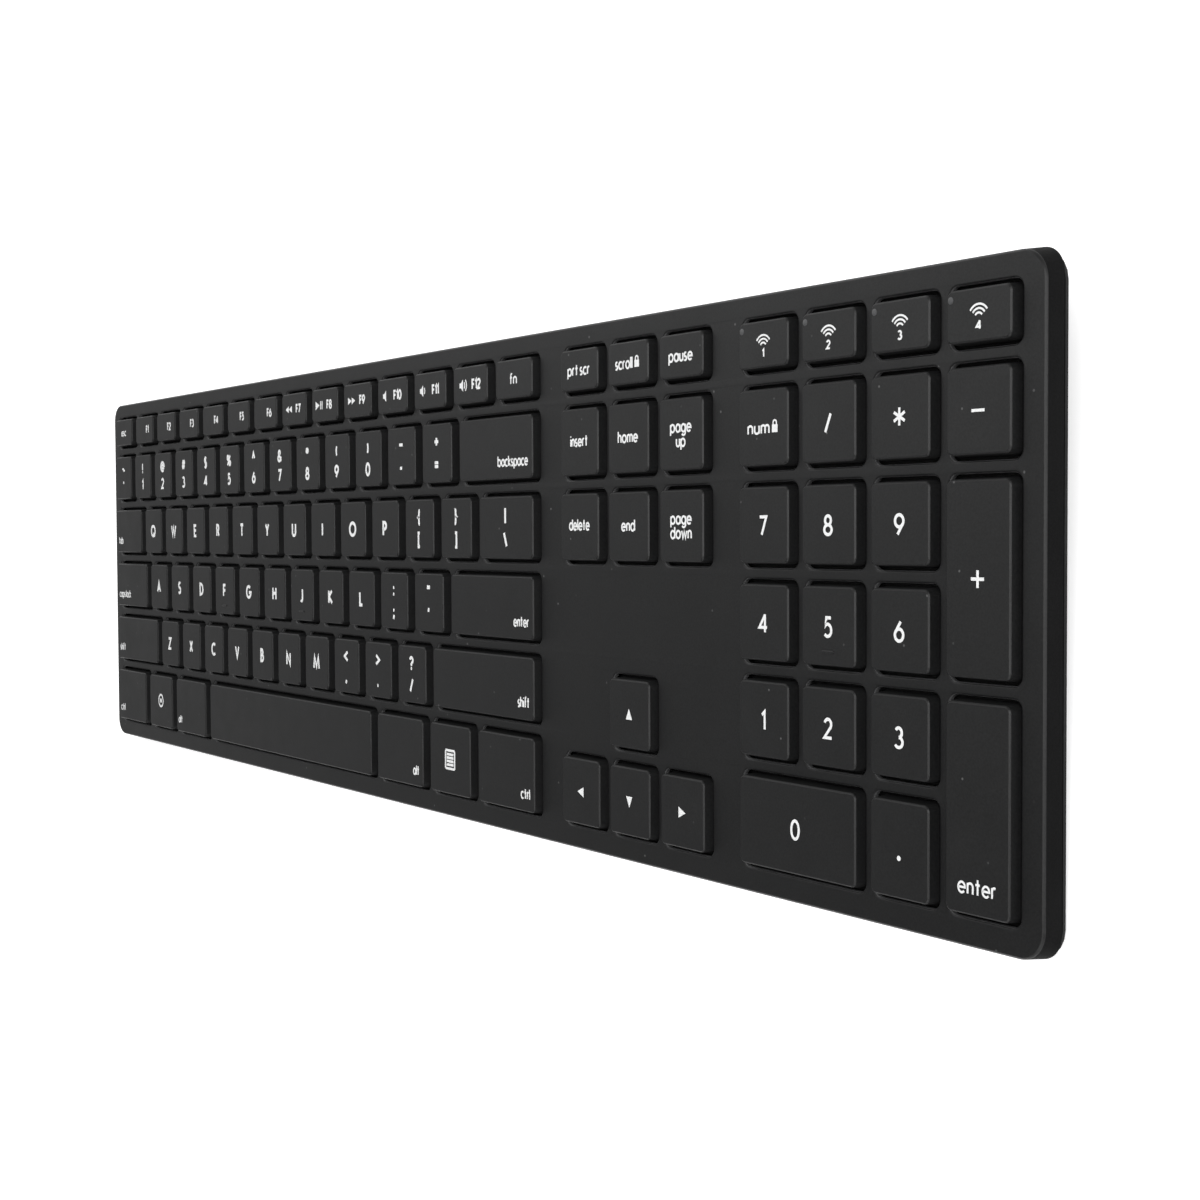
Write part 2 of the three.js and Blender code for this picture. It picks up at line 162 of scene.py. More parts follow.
def caps_of(node):
    """Outlines of the caps in a key node, from left to right: each has four different x on its top face."""
    points = deck_points(node)
    top = max(p.z for p in points)
    face = [p for p in points if p.z > top - SAME]
    y0, y1 = min(p.y for p in face), max(p.y for p in face)
    xs = places(p.x for p in face)
    return [Box(xs[i], y0, xs[i + 3], y1) for i in range(0, len(xs), 4)]


# ------------------------------------------------------------------ mesh helpers

LEAST_CORNER = 0.05
DISC_STEPS = 24


def ring(box, radius, z, steps=6):
    """Counter-clockwise rounded rectangle at height z."""
    radius = max(radius, LEAST_CORNER)
    corners = (
        (box.x1 - radius, box.y0 + radius, -90),
        (box.x1 - radius, box.y1 - radius, 0),
        (box.x0 + radius, box.y1 - radius, 90),
        (box.x0 + radius, box.y0 + radius, 180),
    )
    points = []
    for cx, cy, start in corners:
        for i in range(steps + 1):
            a = math.radians(start + 90 * i / steps)
            points.append((cx + radius * math.cos(a), cy + radius * math.sin(a), z))
    return points


def disc(cx, cy, radius, z):
    turns = [2 * math.pi / DISC_STEPS * i for i in range(DISC_STEPS)]
    return [(cx + radius * math.cos(a), cy + radius * math.sin(a), z) for a in turns]


class Shell:
    """Vertices and faces of one piece, with the material index of each face."""

    def __init__(self):
        self.verts, self.faces, self.looks = [], [], []

    def ring(self, points):
        start = len(self.verts)
        self.verts.extend(points)
        return list(range(start, len(self.verts)))

    def face(self, indices, look=0):
        self.faces.append(tuple(indices))
        self.looks.append(look)

    def bridge(self, a, b, look=0):
        for i in range(len(a)):
            j = (i + 1) % len(a)
            self.face((a[i], a[j], b[j], b[i]), look)

    def loft(self, rings, look=0):
        made = [self.ring(points) for points in rings]
        for a, b in zip(made, made[1:]):
            self.bridge(a, b, look)
        return made

    def plug(self, rings):
        """A loft closed at both ends."""
        made = self.loft(rings)
        self.face(reversed(made[0]))
        self.face(made[-1])

    def fill(self, loops):
        """The flat area inside the first loop and outside the others."""
        flat = [index for loop in loops for index in loop]
        shapes = [[Vector(self.verts[index]) for index in loop] for loop in loops]
        for triangle in tessellate_polygon(shapes):
            self.face([flat[corner] for corner in triangle])


def make_object(name, shell, materials, matrix=DECK, sharp=48):
    """Object of a shell; edges that turn by more than `sharp` degrees stay sharp."""
    mesh = bpy.data.meshes.new(name)
    mesh.from_pydata([tuple(matrix @ Vector(v)) for v in shell.verts], [], shell.faces)
    for look in materials:
        mesh.materials.append(look)
    for polygon, look in zip(mesh.polygons, shell.looks):
        polygon.material_index = look
    work = bmesh.new()
    work.from_mesh(mesh)
    bmesh.ops.recalc_face_normals(work, faces=work.faces)
    work.to_mesh(mesh)
    work.free()
    mesh.shade_smooth()
    mesh.set_sharp_from_angle(angle=math.radians(sharp))
    obj = bpy.data.objects.new(name, mesh)
    bpy.context.scene.collection.objects.link(obj)
    obj.modifiers.new("normals", "WEIGHTED_NORMAL").keep_sharp = True
    return obj


def fillet(radius, steps=4):
    """Inset and depth below the top of points on a quarter round, from the side up to the top."""
    points = []
    for i in range(steps + 1):
        a = math.radians(90 * i / steps)
        points.append((radius * (1 - math.cos(a)), radius * (1 - math.sin(a))))
    return points


def chamfer(width):
    """The same for a flat chamfer whose two edges are eased."""
    return [(0.0, width * 1.15), (width * 0.1, width * 0.9), (width * 0.9, width * 0.1), (width * 1.15, 0.0)]


# ------------------------------------------------------------------ materials

class Look:
    """A Principled material with its procedural nodes on object coordinates."""

    def __init__(self, name, **sockets):
        self.material = bpy.data.materials.new(name)
        self.material.use_nodes = True
        self.tree = self.material.node_tree
        self.shader = self.tree.nodes["Principled BSDF"]
        for socket, value in sockets.items():
            self.shader.inputs[socket.replace("_", " ")].default_value = value
        self.coords = self.tree.nodes.new("ShaderNodeTexCoord")
        self.place = self.coords.outputs["Object"]

    def noise(self, scale, detail, rough=0.5):
        node = self.tree.nodes.new("ShaderNodeTexNoise")
        node.inputs["Scale"].default_value = scale
        node.inputs["Detail"].default_value = detail
        node.inputs["Roughness"].default_value = rough
        self.tree.links.new(self.place, node.inputs["Vector"])
        return node.outputs["Fac"]

    def cells(self, scale):
        node = self.tree.nodes.new("ShaderNodeTexVoronoi")
        node.voronoi_dimensions = "2D"
        node.inputs["Scale"].default_value = scale
        self.tree.links.new(self.place, node.inputs["Vector"])
        return node.outputs["Distance"]

    def upward(self):
        """1 on faces that look up, 0 on the others."""
        node = self.tree.nodes.new("ShaderNodeSeparateXYZ")
        self.tree.links.new(self.coords.outputs["Normal"], node.inputs["Vector"])
        return self.ramp(node.outputs["Z"], ((0.90, 0.0), (0.97, 1.0)))

    def ramp(self, value, stops):
        node = self.tree.nodes.new("ShaderNodeValToRGB")
        elements = node.color_ramp.elements
        elements[0].position, elements[0].color = stops[0][0], grey(stops[0][1])
        elements[1].position, elements[1].color = stops[-1][0], grey(stops[-1][1])
        for position, shade in stops[1:-1]:
            elements.new(position).color = grey(shade)
        self.tree.links.new(value, node.inputs["Fac"])
        return node.outputs["Color"]

    def mottle(self, scale, dark, light, detail=2.0):
        """Noise between two shades."""
        return self.ramp(self.noise(scale, detail), ((0.3, dark), (0.7, light)))

    def mix(self, mode, a, b):
        """Two colours blended in full, by MULTIPLY or ADD."""
        node = self.tree.nodes.new("ShaderNodeMix")
        node.data_type = "RGBA"
        node.blend_type = mode
        sockets = {s.identifier: s for s in node.inputs}
        sockets["Factor_Float"].default_value = 1.0
        self.tree.links.new(a, sockets["A_Color"])
        self.tree.links.new(b, sockets["B_Color"])
        return next(s for s in node.outputs if s.identifier == "Result_Color")

    def link(self, value, socket):
        self.tree.links.new(value, self.shader.inputs[socket])

    def bump(self, height, distance, strength):
        node = self.tree.nodes.new("ShaderNodeBump")
        node.inputs["Strength"].default_value = strength
        node.inputs["Distance"].default_value = distance
        self.tree.links.new(height, node.inputs["Height"])
        self.tree.links.new(node.outputs["Normal"], self.shader.inputs["Normal"])


def grey(shade):
    if isinstance(shade, (int, float)):
        return (shade, shade, shade, 1.0)
    return (*shade, 1.0)


def dust_on(look, color, spacing, shade):
    """Adds sparse pale specks of dust on top, one at most in each patch of the given spacing in metres."""
    specks = look.ramp(look.cells(1 / spacing), ((0.010, shade), (0.020, 0.0)))
    patches = look.ramp(look.noise(45, 2), ((0.46, 0.0), (0.60, 1.0)))
    settled = look.mix("MULTIPLY", patches, look.upward())
    return look.mix("ADD", color, look.mix("MULTIPLY", specks, settled))


def deck_look():
    """Bead-blasted black anodising: fine grain, faint clouding and a few specks of dust."""
    look = Look("anodised_deck", Specular_IOR_Level=0.27)
    grain = look.mottle(2600, (0.0054, 0.0055, 0.0057), (0.0108, 0.0109, 0.0112))
    color = look.mix("MULTIPLY", grain, look.mottle(38, 0.86, 1.0, 3))
    look.link(dust_on(look, color, 0.015, 0.09), "Base Color")
    look.link(look.ramp(look.noise(60, 3), ((0.25, 0.39), (0.75, 0.46))), "Roughness")
    look.bump(look.noise(2600, 3, 0.6), 0.00002, 0.6)
    return look.material


def rim_look():
    """The plate's turned-down rim, blasted coarser than its top, its colour darker than the top as painted shade
    on the side.
    """
    look = Look("deck_rim_painted_shade", Specular_IOR_Level=0.05)
    grain = look.mottle(2600, (0.0026, 0.0026, 0.0027), (0.0052, 0.0052, 0.0054))
    look.link(look.mix("MULTIPLY", grain, look.mottle(50, 0.85, 1.0, 3)), "Base Color")
    look.link(look.ramp(look.noise(80, 3), ((0.25, 0.58), (0.75, 0.70))), "Roughness")
    look.bump(look.noise(2600, 3, 0.6), 0.00003, 0.6)
    return look.material


def cap_look():
    """Matte moulded plastic: spark-eroded grain, unevenly polished, and a few specks of dust."""
    look = Look("keycap_plastic", Specular_IOR_Level=0.28)
    grain = look.mottle(2400, (0.0068, 0.0069, 0.0071), (0.0120, 0.0121, 0.0124))
    color = look.mix("MULTIPLY", grain, look.mottle(70, 0.88, 1.0))
    look.link(dust_on(look, color, 0.014, 0.08), "Base Color")
    look.link(look.mottle(95, 0.39, 0.47, 3), "Roughness")
    look.bump(look.noise(2400, 3, 0.6), 0.00002, 0.55)
    return look.material


def ink_look():
    look = Look("legend_ink", Roughness=0.5, Specular_IOR_Level=0.3)
    look.link(look.mottle(2500, (0.73, 0.74, 0.74), (0.79, 0.79, 0.79)), "Base Color")
    return look.material


def window_look():
    look = Look("status_window", Roughness=0.35, Transmission_Weight=0.15)
    look.link(look.mottle(900, (0.046, 0.047, 0.049), (0.062, 0.063, 0.065)), "Base Color")
    return look.material


ROUGH_SPREAD = 0.06


def grain_look(name, dark, light, scale, rough, bump, **sockets):
    """A moulded, cast or rolled surface: two shades of grain, uneven roughness and a fine relief."""
    look = Look(name, **sockets)
    look.link(look.mottle(scale, dark, light, 3), "Base Color")
    look.link(look.mottle(scale / 30, rough - ROUGH_SPREAD, rough + ROUGH_SPREAD, 3), "Roughness")
    look.bump(look.noise(scale * 0.8, 3, 0.6), bump, 0.6)
    return look.material


LOOKS = {
    "anodised_deck": deck_look(),
    "keycap_plastic": cap_look(),
    "cover_plastic": grain_look(
        "cover_plastic", (0.006, 0.006, 0.0063), (0.011, 0.011, 0.0115), 2200, 0.62, 0.00004,
        Specular_IOR_Level=0.16),
    "plate_steel": grain_look(
        "plate_steel", (0.42, 0.43, 0.44), (0.52, 0.53, 0.54), 900, 0.38, 0.00001, Metallic=1.0),
    "membrane_film": grain_look(
        "membrane_film", (0.50, 0.56, 0.58), (0.60, 0.66, 0.68), 300, 0.35, 0.00001),
    "dome_rubber": grain_look(
        "dome_rubber", (0.006, 0.006, 0.006), (0.010, 0.010, 0.010), 1500, 0.75, 0.00002,
        Specular_IOR_Level=0.2),
    "board_laminate": grain_look(
        "board_laminate", (0.02, 0.12, 0.05), (0.03, 0.16, 0.07), 400, 0.4, 0.00002),
    "battery_foil": grain_look(
        "battery_foil", (0.40, 0.42, 0.44), (0.50, 0.52, 0.54), 250, 0.35, 0.00004, Metallic=0.8),
    "socket_steel": grain_look(
        "socket_steel", (0.30, 0.31, 0.32), (0.38, 0.39, 0.40), 1500, 0.34, 0.00001, Metallic=1.0),
    "switch_plastic": grain_look(
        "switch_plastic", (0.012, 0.012, 0.012), (0.020, 0.020, 0.020), 2500, 0.5, 0.00002),
    "foot_rubber": grain_look(
        "foot_rubber", (0.010, 0.010, 0.010), (0.018, 0.018, 0.018), 1800, 0.85, 0.00005,
        Specular_IOR_Level=0.25),
    "screw_steel": grain_look(
        "screw_steel", (0.34, 0.35, 0.36), (0.44, 0.45, 0.46), 1800, 0.32, 0.00001, Metallic=1.0),
}
INK_LOOK = ink_look()
WINDOW_LOOK = window_look()
# The rim's colour is darker than the deck's top: painted shade on the plate's side.
SHADED_RIM_LOOK = rim_look()
# Well walls much paler than the deck: painted light in the gaps round the caps.
LIT_WELL_LOOK = grain_look("well_wall_painted_light", (0.055, 0.055, 0.056), (0.075, 0.075, 0.077), 2600, 0.5, 0.00002)
GILT_LOOK = grain_look("gilt", (0.50, 0.34, 0.12), (0.60, 0.42, 0.16), 1500, 0.3, 0.00001, Metallic=1.0)


def give_cad_looks():
    """Every CAD node that stays in view gets the procedural finish of its slot."""
    for row in frame["record"]["subparts"]:
        node = frame["nodes"][row["node"]]
        node.data.materials.clear()
        node.data.materials.append(LOOKS[row["material_slot"]])


# ------------------------------------------------------------------ stroke font

# Each glyph is a list of strokes, split by ";". A stroke is a list of points "x,y" and of arcs
# "@cx,cy,rx,ry,from,to" in degrees. Capitals and figures are 1 high, small letters 0.66.
GLYPHS = {
    "0": "@.3,.5,.3,.5,90,450",
    "1": "0,.8 .22,1 .22,0",
    "2": "@.27,.73,.25,.27,165,-32 0,0 .55,0",
    "3": "@.26,.755,.22,.245,150,-85;@.26,.26,.27,.265,86,-150",
    "4": ".46,0 .46,1;.46,.98 0,.27 .62,.27",
    "5": ".5,1 .15,1 .08,.56 @.25,.33,.28,.33,122,-140",
    "6": "@.29,.31,.29,.31,0,360;.4,1 .05,.46",
    "7": "0,1 .54,1 .16,0",
    "8": "@.28,.76,.22,.24,90,450;@.28,.26,.28,.26,90,450",
    "9": "@.29,.69,.29,.31,0,360;.18,0 .53,.54",
    "A": "0,0 .34,1 .68,0;.11,.32 .57,.32",
    "B": ".18,.54 0,.54 0,1 .18,1 @.18,.77,.2,.23,90,-90;.18,.54 @.18,.27,.28,.27,90,-90 0,0 0,.54",
    "C": "@.44,.5,.44,.5,48,312",
    "D": "0,0 0,1 .14,1 @.14,.5,.48,.5,90,-90 0,0",
    "E": ".44,1 0,1 0,0 .44,0;0,.52 .4,.52",
    "F": ".42,1 0,1 0,0;0,.52 .38,.52",
    "G": "@.44,.5,.44,.5,48,356 .48,.46",
    "H": "0,0 0,1;.58,0 .58,1;0,.52 .58,.52",
    "I": "0,0 0,1",
    "J": ".3,1 .3,.22 @.12,.22,.18,.22,0,-140",
    "K": "0,0 0,1;.52,1 .03,.5 .56,0",
    "L": "0,1 0,0 .4,0",
    "M": "0,0 .12,1 .46,.12 .8,1 .92,0",
    "N": "0,0 0,1 .62,0 .62,1",
    "O": "@.48,.5,.48,.5,90,450",
    "P": "0,0 0,1 .19,1 @.19,.74,.26,.26,90,-90 0,.48",
    "Q": "@.48,.5,.48,.5,90,450;.52,.3 .92,-.04",
    "R": "0,0 0,1 .19,1 @.19,.75,.24,.25,90,-90 0,.5;.2,.5 .48,0",
    "S": "@.25,.755,.21,.245,38,268 @.24,.26,.24,.26,88,-148",
    "T": "0,1 .54,1;.27,1 .27,0",
    "U": "0,1 0,.29 @.29,.29,.29,.29,180,360 .58,1",
    "V": "0,1 .33,0 .66,1",
    "W": "0,1 .24,0 .48,.92 .72,0 .96,1",
    "X": "0,0 .56,1;0,1 .56,0",
    "Y": "0,1 .29,.48 .58,1;.29,.48 .29,0",
    "Z": "0,1 .54,1 0,0 .56,0",
    "a": "@.3,.33,.3,.33,0,360;.6,.66 .6,0",
    "b": "0,1 0,0;@.3,.33,.3,.33,0,360",
    "c": "@.31,.33,.31,.33,50,310",
    "d": "@.3,.33,.3,.33,0,360;.6,1 .6,0",
    "e": "0,.34 .6,.34 @.3,.33,.3,.33,2,318",
    "f": "@.27,.84,.15,.16,70,180 .12,0;0,.63 .28,.63",
    "g": "@.3,.33,.3,.33,0,360;.6,.66 .6,-.06 @.32,-.06,.28,.24,0,-150",
    "h": "0,0 0,1;0,.42 @.23,.43,.23,.23,180,0 .46,0",
    "i": "0,0 0,.66;0,.86 0,.97",
    "k": "0,0 0,1;.4,.66 .02,.35 .44,0",
    "l": "0,0 0,1",
    "m": "0,0 0,.66;0,.43 @.2,.44,.2,.22,180,0 .4,0;.4,.43 @.6,.44,.2,.22,180,0 .8,0",
    "n": "0,0 0,.66;0,.42 @.23,.43,.23,.23,180,0 .46,0",
    "o": "@.31,.33,.31,.33,0,360",
    "p": "0,.66 0,-.3;@.3,.33,.3,.33,0,360",
    "r": "0,0 0,.66;0,.42 @.18,.44,.18,.22,180,55",
    "s": "@.19,.49,.16,.17,45,268 @.18,.165,.18,.165,88,-140",
    "t": ".19,.96 .19,0;0,.64 .38,.64",
    "u": "0,.66 0,.23 @.23,.23,.23,.23,180,360;.46,.66 .46,0",
    "w": "0,.66 .18,0 .37,.6 .56,0 .74,.66",
    "`": "0,1 .14,.78",
    "~": "@.13,.5,.13,.1,180,0 @.39,.5,.13,.1,180,360",
    "!": "0,1 0,.28;-.08,.05 .08,.05",
    "@": "@.45,.46,.19,.2,0,360;.64,.64 .64,.36 @.76,.36,.12,.1,180,330;@.45,.46,.47,.5,-8,308",
    "#": ".18,0 .3,1;.48,0 .6,1;0,.32 .7,.32;.08,.68 .78,.68",
    "$": "@.25,.755,.21,.245,38,268 @.24,.26,.24,.26,88,-148;.245,1.14 .245,-.14",
    "%": "@.15,.78,.15,.2,0,360;@.6,.22,.15,.2,0,360;.08,0 .67,1",
    "^": "0,.5 .24,1.04 .48,.5",
    "&": "@.29,.79,.17,.2,-52,215 .66,0;@.27,.25,.27,.26,112,330 .66,.42",
    "*": ".25,1.04 .25,.46;0,.9 .5,.6;0,.6 .5,.9",
    "(": "@.34,.48,.34,.62,138,222",
    ")": "@-.16,.48,.34,.62,42,-42",
    "-": "0,.4 .34,.4",
    "_": "0,.5 .54,.5",
    "=": "0,.34 .52,.34;0,.66 .52,.66",
    "+": "0,.5 .56,.5;.28,.18 .28,.82",
    "[": ".2,1.06 0,1.06 0,-.1 .2,-.1",
    "]": "0,1.06 .2,1.06 .2,-.1 0,-.1",
    "{": (
        ".26,1.06 @.26,.92,.13,.14,90,180 .13,.62 @0,.62,.13,.14,0,-90 "
        "@0,.34,.13,.14,90,0 .13,.04 @.26,.04,.13,.14,180,270"
    ),
    "}": (
        "0,1.06 @0,.92,.13,.14,90,0 .13,.62 @.26,.62,.13,.14,180,270 "
        "@.26,.34,.13,.14,90,180 .13,.04 @0,.04,.13,.14,0,-90"
    ),
    "\\": "0,1.04 .34,0",
    "|": "0,1.08 0,-.1",
    ";": "0,.62 .17,.62;.13,.2 .03,-.14",
    ":": "0,.68 .17,.68;0,.12 .17,.12",
    "'": ".05,1 0,.68",
    '"': "0,1 0,.68;.22,1 .22,.68",
    ",": ".13,.2 .03,-.14",
    ".": "0,.08 .17,.08",
    "<": ".54,.86 0,.46 .54,.06",
    ">": "0,.86 .54,.46 0,.06",
    "/": "0,0 .38,1.04",
    "?": "@.23,.77,.23,.23,170,-62 .23,.42 .23,.27;.15,.05 .31,.05",
}
LETTER_GAP = 0.23
SPACE_WIDTH = 0.26
MITRE_LIMIT = 2.2
ARC_STEP = 15  # degrees
REPEATED = 0.012  # points of a glyph closer than this are one
CLOSED = 0.02  # a stroke whose ends are closer than this is a loop


def glyph_strokes(glyph):
    strokes = []
    for text in GLYPHS[glyph].split(";"):
        points = []
        for item in text.split():
            numbers = [float(n) for n in item.lstrip("@").split(",")]
            if item.startswith("@"):
                cx, cy, rx, ry, start, end = numbers
                steps = max(2, round(abs(end - start) / ARC_STEP))
                for i in range(steps + 1):
                    a = math.radians(start + (end - start) * i / steps)
                    points.append((cx + rx * math.cos(a), cy + ry * math.sin(a)))
            else:
                points.append(tuple(numbers))
        strokes.append(without_repeats(points))
    return strokes


def without_repeats(points):
    kept = [points[0]]
    for p in points[1:]:
        if math.dist(p, kept[-1]) > REPEATED:
            kept.append(p)
    return kept


def text_strokes(text, wide):
    """Strokes of a word whose left end is at 0, and its width; `wide` stretches it sideways."""
    x, strokes = 0.0, []
    for glyph in text:
        if glyph == " ":
            x += SPACE_WIDTH * wide
            continue
        drawn = glyph_strokes(glyph)
        left = min(p[0] for s in drawn for p in s)
        right = max(p[0] for s in drawn for p in s)
        for stroke in drawn:
            strokes.append([((p[0] - left) * wide + x, p[1]) for p in stroke])
        x += (right - left + LETTER_GAP) * wide
    return strokes, x - LETTER_GAP * wide


def ribbon(stroke, half):
    """Left and right edges of a stroke of a given half width, with mitred corners."""
    closed = math.dist(stroke[0], stroke[-1]) < CLOSED and len(stroke) > 3
    points = stroke[:-1] if closed else stroke
    count = len(points)
    left, right = [], []
    for i, (x, y) in enumerate(points):
        before = points[i - 1] if i > 0 or closed else None
        after = points[(i + 1) % count] if i < count - 1 or closed else None
        normals = []
        for a, b in ((before, (x, y)), ((x, y), after)):
            if a is not None and b is not None:
                length = math.dist(a, b)
                normals.append((-(b[1] - a[1]) / length, (b[0] - a[0]) / length))
        nx, ny = sum(n[0] for n in normals), sum(n[1] for n in normals)
        size = math.hypot(nx, ny) or 1.0
        nx, ny = nx / size, ny / size
        reach = half / max(nx * normals[0][0] + ny * normals[0][1], 1 / MITRE_LIMIT)
        left.append((x + nx * reach, y + ny * reach))
        right.append((x - nx * reach, y - ny * reach))
    return left, right, closed


def add_prism(shell, left, right, closed, low, high):
    """Solid strip between a left and a right edge, from height low to high."""
    levels = [shell.ring([(x, y, z) for x, y in edge]) for z in (low, high) for edge in (left, right)]
    low_left, low_right, high_left, high_right = levels
    count = len(left)
    for i in range(count if closed else count - 1):
        j = (i + 1) % count
        shell.face((high_left[i], high_right[i], high_right[j], high_left[j]))
        shell.face((low_left[i], low_left[j], low_right[j], low_right[i]))
        shell.face((low_left[i], high_left[i], high_left[j], low_left[j]))
        shell.face((low_right[i], low_right[j], high_right[j], high_right[i]))
    if not closed:
        last = count - 1
        shell.face((low_left[0], low_right[0], high_right[0], high_left[0]))
        shell.face((low_left[last], high_left[last], high_right[last], low_right[last]))


class Legend:
    """The printed marks of one key, in ink on the cap's top."""

    def __init__(self, box, top):
        self.box, self.top, self.shell, self.count = box, top, Shell(), 0

    def level(self):
        """Each mark is a hair higher than the one before it, so that no two faces coincide."""
        self.count += 1
        return self.top - INK_DEPTH, self.top + INK_DEPTH * (INK_PROUD + INK_STEP * self.count)

    def stroke(self, points, half):
        low, high = self.level()
        left, right, closed = ribbon(points, half)
        add_prism(self.shell, left, right, closed, low, high)

    def area(self, outline):
        """A filled mark; the outline runs counter-clockwise."""
        low, high = self.level()
        self.shell.plug([[(x, y, low) for x, y in outline], [(x, y, high) for x, y in outline]])

    def text(self, words, x, y, size, weight, align, wide):
        """Words whose capitals are `size` high, centred in height on y."""
        strokes, width = text_strokes(words, wide)
        shift = {"centre": width / 2, "left": 0.0, "right": width}[align]
        for stroke in strokes:
            placed = [(x + (px - shift) * size, y + (py - 0.5) * size) for px, py in stroke]
            self.stroke(placed, weight * size / 2)

    def made(self, name):
        return make_object(name, self.shell, [INK_LOOK], sharp=30)


# ------------------------------------------------------------------ what is printed on each key

# Numbers in the drawing functions are millimetres, most of them from the middle of the cap.

LETTER_SIZE, LETTER_WIDE = 3.4, 1.08
FIGURE_SIZE, FIGURE_WIDE, FIGURE_LIFT = 3.5, 1.05, -0.15  # on the keypad
PAIR_SIZE, PAIR_WIDE, PAIR_SPREAD = 3.05, 1.12, 2.9  # figure and symbol on one key
WORD_SIZE, WORD_WIDE = 2.35, 0.96
CORNER_WIDE = 0.86  # for a word in a corner
CORNER_INSET, CORNER_HEIGHT = 2.3, 4.6  # its end to the cap's side, its middle to the front edge
UPPER_LIFT, LOWER_LIFT = 1.6, -1.4  # of two words on one key
FIGURE_WEIGHT, WORD_WEIGHT = 0.175, 0.19  # stroke to capital height
HEAVY = 0.265  # the same on the letters, figures and symbols of the main block
PADLOCK_SIZE, PADLOCK_ROOM, PADLOCK_GAP = 2.45, 2.7, 1.75  # the gap is to the padlock's middle
WAVE_RADII, WAVE_HALF = (0.97, 1.7, 2.43), 0.18
TRIANGLE_SIZE = 1.15


def centre_text(words, size, weight, wide, lift=0.0):
    def draw(legend):
        legend.text(words, legend.box.cx, legend.box.cy + lift, size, weight, "centre", wide)
    return draw


def pad_figure(number):
    return centre_text(str(number), FIGURE_SIZE, FIGURE_WEIGHT, FIGURE_WIDE, FIGURE_LIFT)


def letter(name):
    return centre_text(name.upper(), LETTER_SIZE, HEAVY, LETTER_WIDE)


def pair(upper, lower):
    def draw(legend):
        box = legend.box
        for words, lift in ((upper, PAIR_SPREAD), (lower, -PAIR_SPREAD)):
            legend.text(words, box.cx, box.cy + lift, PAIR_SIZE, HEAVY, "centre", PAIR_WIDE)
    return draw


def corner_word(words, align):
    def draw(legend):
        box = legend.box
        x = box.x0 + CORNER_INSET if align == "left" else box.x1 - CORNER_INSET
        legend.text(words, x, box.y0 + CORNER_HEIGHT, WORD_SIZE, WORD_WEIGHT, align, CORNER_WIDE)
    return draw


def word(words, lift=0.0, wide=WORD_WIDE):
    return centre_text(words, WORD_SIZE, WORD_WEIGHT, wide, lift)


def two_words(upper, lower):
    def draw(legend):
        word(upper, UPPER_LIFT)(legend)
        word(lower, LOWER_LIFT)(legend)
    return draw


def arc_points(cx, cy, radius, start, end, steps=10):
    points = []
    for i in range(steps + 1):
        a = math.radians(start + (end - start) * i / steps)
        points.append((cx + radius * math.cos(a), cy + radius * math.sin(a)))
    return points


def draw_padlock(legend, x, y, size):
    half, low, high = size * 0.34, y - size * 0.5, y + size * 0.12
    legend.area([(x - half, low), (x + half, low), (x + half, high), (x - half, high)])
    shackle = [(x - half * 0.6, high)] + arc_points(x, high + size * 0.14, half * 0.6, 180, 0)
    legend.stroke(shackle + [(x + half * 0.6, high)], size * 0.07)


def word_and_padlock(words, wide):
    def draw(legend):
        box = legend.box
        width = text_strokes(words, wide)[1] * WORD_SIZE
        left = box.cx - (width + PADLOCK_ROOM) / 2
        legend.text(words, left, box.cy, WORD_SIZE, WORD_WEIGHT, "left", wide)
        draw_padlock(legend, left + width + PADLOCK_GAP, box.cy + 0.1, PADLOCK_SIZE)
    return draw


def wireless(figure):
    """Three waves above a small figure."""
    def draw(legend):
        x, y = legend.box.cx + 0.1, legend.box.cy
        for radius in WAVE_RADII:
            legend.stroke(arc_points(x, y - 0.67, radius, 36, 144), WAVE_HALF)
        legend.text(figure, x, y - 1.75, 1.42, 0.27, "centre", 1.15)
    return draw


def bars(angles, reach, half):
    """Bars that cross in the middle of the key: a minus, a plus or an asterisk."""
    def draw(legend):
        cx, cy = legend.box.cx, legend.box.cy
        for angle in angles:
            a = math.radians(angle)
            dx, dy = reach * math.cos(a), reach * math.sin(a)
            legend.stroke([(cx - dx, cy - dy), (cx + dx, cy + dy)], half)
    return draw


def point(legend):
    legend.area(arc_points(legend.box.cx, legend.box.cy - 1.5, 0.48, 0, 345, 23))


def pad_enter(legend):
    legend.text("enter", legend.box.cx, legend.box.y0 + 5.4, 2.75, 0.15, "centre", 0.97)


def triangle(dx, dy):
    """A solid arrow head that points along (dx, dy)."""
    def draw(legend):
        legend.area(arrow_head(legend.box.cx, legend.box.cy, dx, dy, TRIANGLE_SIZE))
    return draw


def arrow_head(cx, cy, dx, dy, size):
    """Corners of a triangle twice as wide as `size` and a little longer than wide."""
    tip = (cx + dx * size * 1.1, cy + dy * size * 1.1)
    back = (cx - dx * size, cy - dy * size)
    side = (-dy * size, dx * size)
    return [tip, (back[0] + side[0], back[1] + side[1]), (back[0] - side[0], back[1] - side[1])]


def draw_media(legend, kind, x, y):
    """Small transport and loudness marks."""
    if kind in ("rewind", "forward"):
        way = 1 if kind == "forward" else -1
        for step in (-1.1, 1.1):
            legend.area(arrow_head(x + step, y, way, 0, 1.0))
    elif kind == "play":
        legend.area(arrow_head(x - 1.1, y, 1, 0, 1.2))
        for step in (0.9, 1.9):
            legend.stroke([(x + step, y - 1.15), (x + step, y + 1.15)], 0.25)
    elif kind:
        waves = {"mute": 0, "quieter": 1, "louder": 2}[kind]
        legend.area([
            (x - 1.7, y - 0.6), (x - 1.0, y - 0.6), (x, y - 1.5),
            (x, y + 1.5), (x - 1.0, y + 0.6), (x - 1.7, y + 0.6),
        ])
        for wave in range(waves):
            legend.stroke(arc_points(x - 0.2, y, 1.05 + 0.85 * wave, -45, 45, 8), 0.19)


